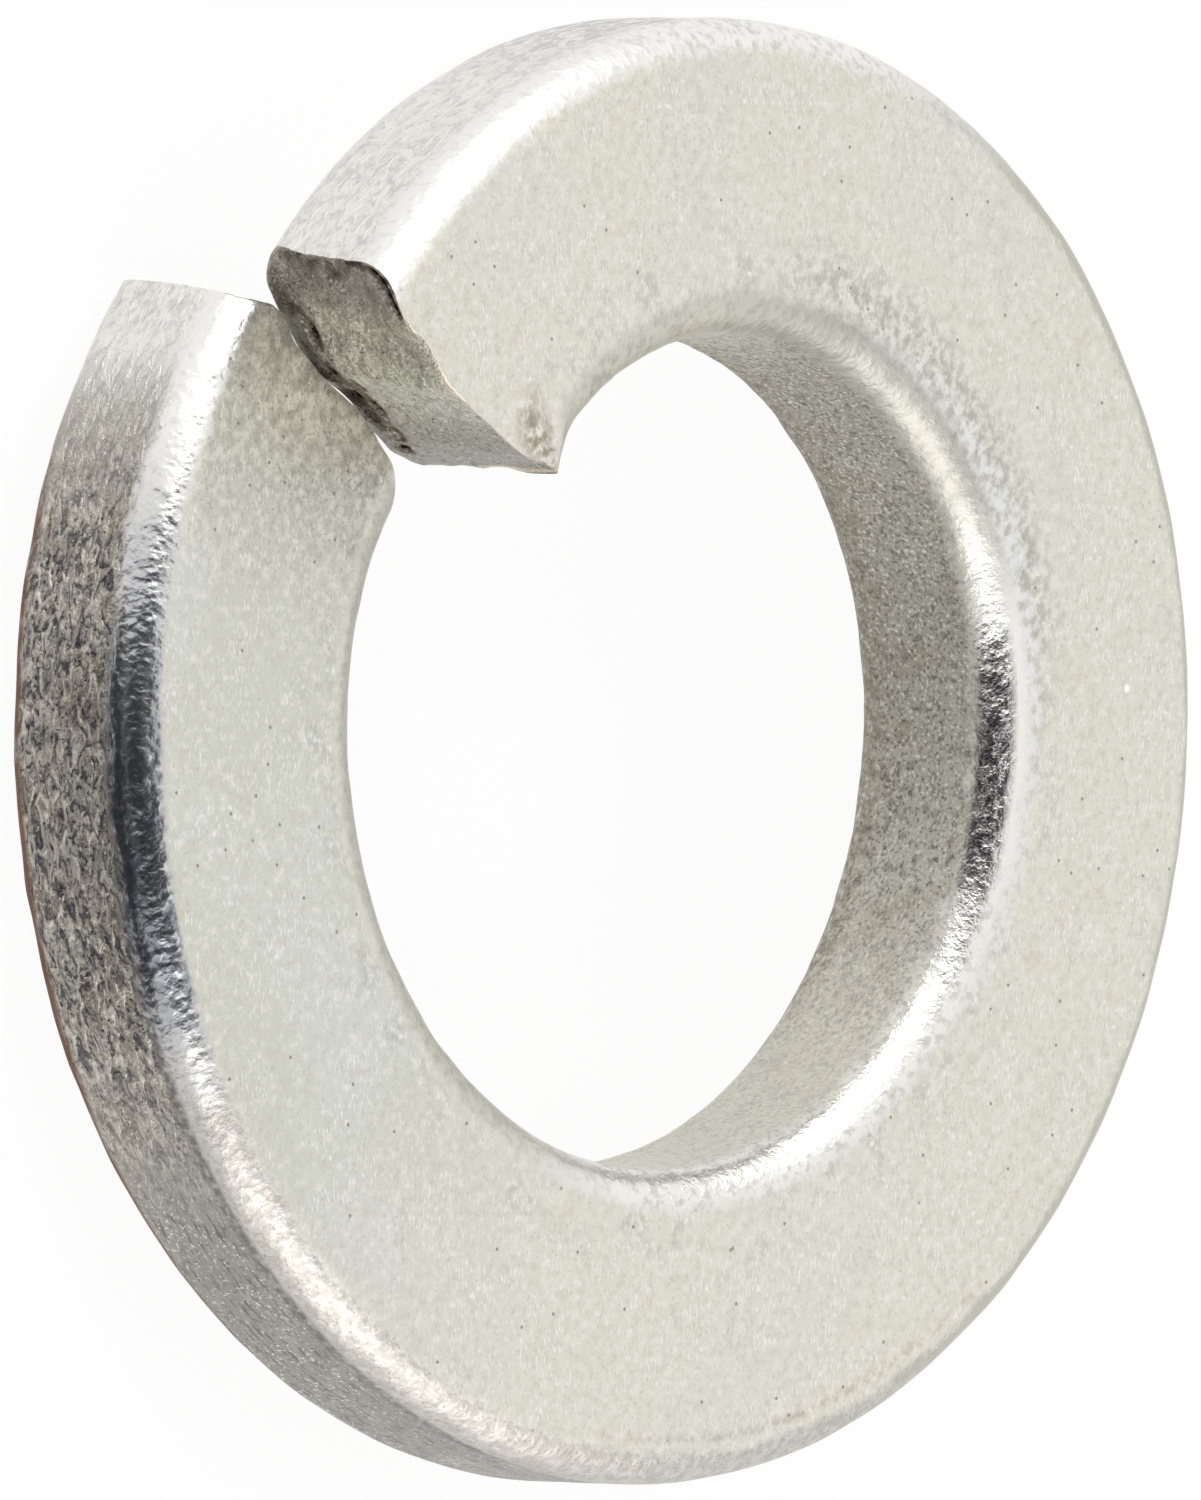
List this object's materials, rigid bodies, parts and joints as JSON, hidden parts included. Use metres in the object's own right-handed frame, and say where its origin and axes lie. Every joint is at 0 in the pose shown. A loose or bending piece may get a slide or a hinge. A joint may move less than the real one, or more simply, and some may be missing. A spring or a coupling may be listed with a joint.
{
  "type": "spring lock washer",
  "caption": "Helical spring lock washer of rounded rectangular wire in zinc-plated spring steel, cut through once on a lean, one end raised above the other, with a biting corner at each cut.",
  "frame": {"origin": "on the bore's axis, level with the washer's lowest point, so that the washer lies on the plane z = 0", "axes": "+Z along the bore's axis, from the low end's underside to the raised end's top; -Y towards the split, with the raised end on its -X side and the low end on its +X side"},
  "size_m": [0.017, 0.017, 0.0046],
  "materials": {
    "zinc_plated_spring_steel": "tumbled and clear zinc plated: matt warm grey faces, bright worn edges, streaked outer wall"
  },
  "bodies": {
    "root": {"lock_washer": "zinc_plated_spring_steel"}
  },
  "joints": []
}
